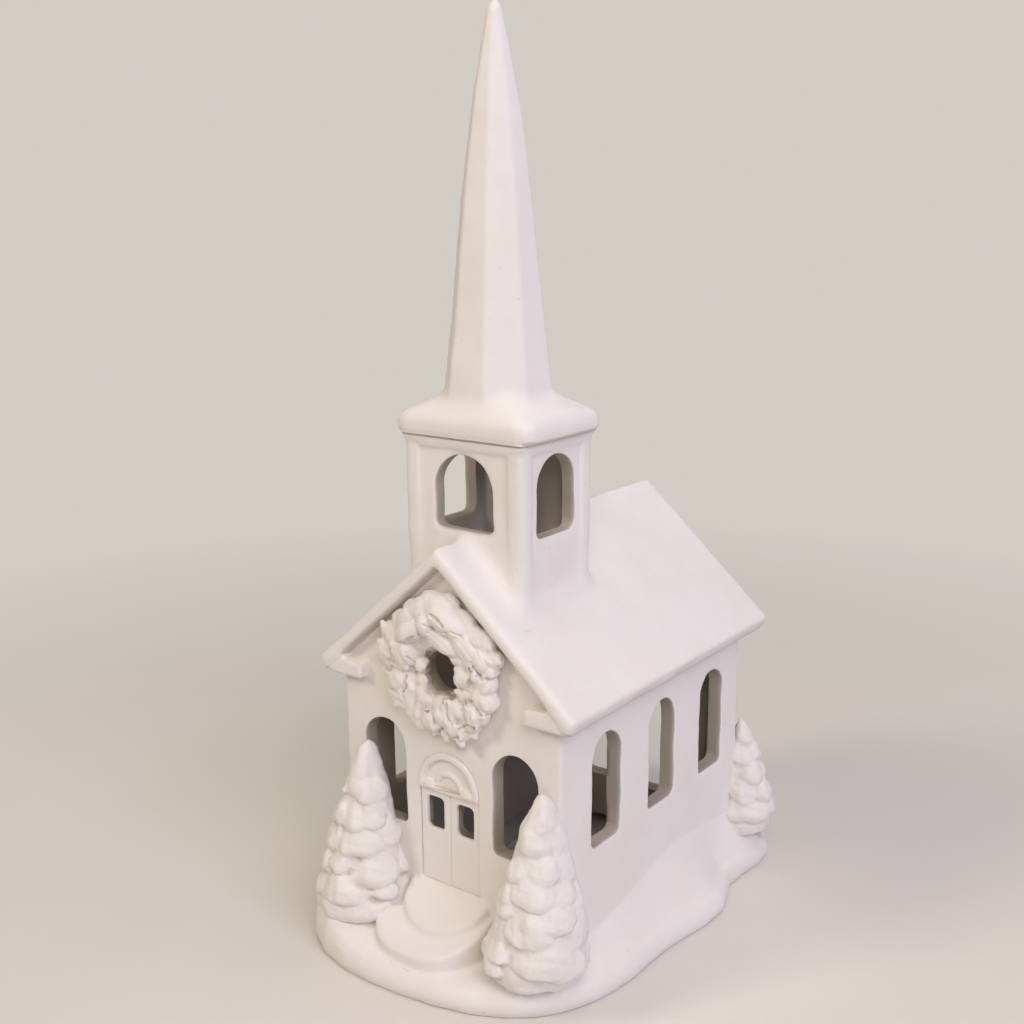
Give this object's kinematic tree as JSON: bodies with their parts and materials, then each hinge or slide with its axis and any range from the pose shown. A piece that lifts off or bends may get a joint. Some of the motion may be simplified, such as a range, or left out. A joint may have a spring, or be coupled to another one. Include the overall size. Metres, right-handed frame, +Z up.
{
  "type": "village church lantern",
  "caption": "White bisque ceramic village church with a tall spire, on a mound of snow, open underneath so that it lifts over a tea light that shines through its arched windows.",
  "frame": {"origin": "middle of the snow mound's plan, on the table", "axes": "+Z up; +X to the right of someone who faces the front door; +Y from the front door back along the nave"},
  "size_m": [0.13, 0.1878, 0.332],
  "materials": {
    "bisque_walls": "matt unglazed bisque",
    "bisque_snow": "matt unglazed bisque, rubbed smooth",
    "bisque_relief": "matt unglazed bisque, modelled relief",
    "light_cup": "pressed foil",
    "light_wax": "paraffin wax",
    "light_wick": "braided cotton"
  },
  "bodies": {
    "tea_light": {"tea_light_cup": "light_cup", "tea_light_wax": "light_wax", "tea_light_wick": "light_wick"},
    "church": {"snow_mound": "bisque_snow", "nave_front_wall": "bisque_walls", "nave_rear_wall": "bisque_walls", "nave_left_wall": "bisque_walls", "nave_right_wall": "bisque_walls", "roof": "bisque_snow", "bell_tower": "bisque_walls", "steeple": "bisque_snow", "gable_return_left": "bisque_walls", "gable_return_right": "bisque_walls", "wreath": "bisque_relief", "wreath_bow": "bisque_relief", "door_leaf_left": "bisque_relief", "door_leaf_right": "bisque_relief", "door_fanlight": "bisque_relief", "upper_step": "bisque_snow", "lower_step": "bisque_snow", "tree_front_left": "bisque_relief", "tree_front_right": "bisque_relief", "tree_rear_left": "bisque_relief", "tree_rear_right": "bisque_relief"}
  },
  "joints": [
    {"name": "lantern_lift", "type": "slide", "parent": "tea_light", "child": "church", "axis": [0, 0, 1], "range_m": [0, 0.11]}
  ]
}
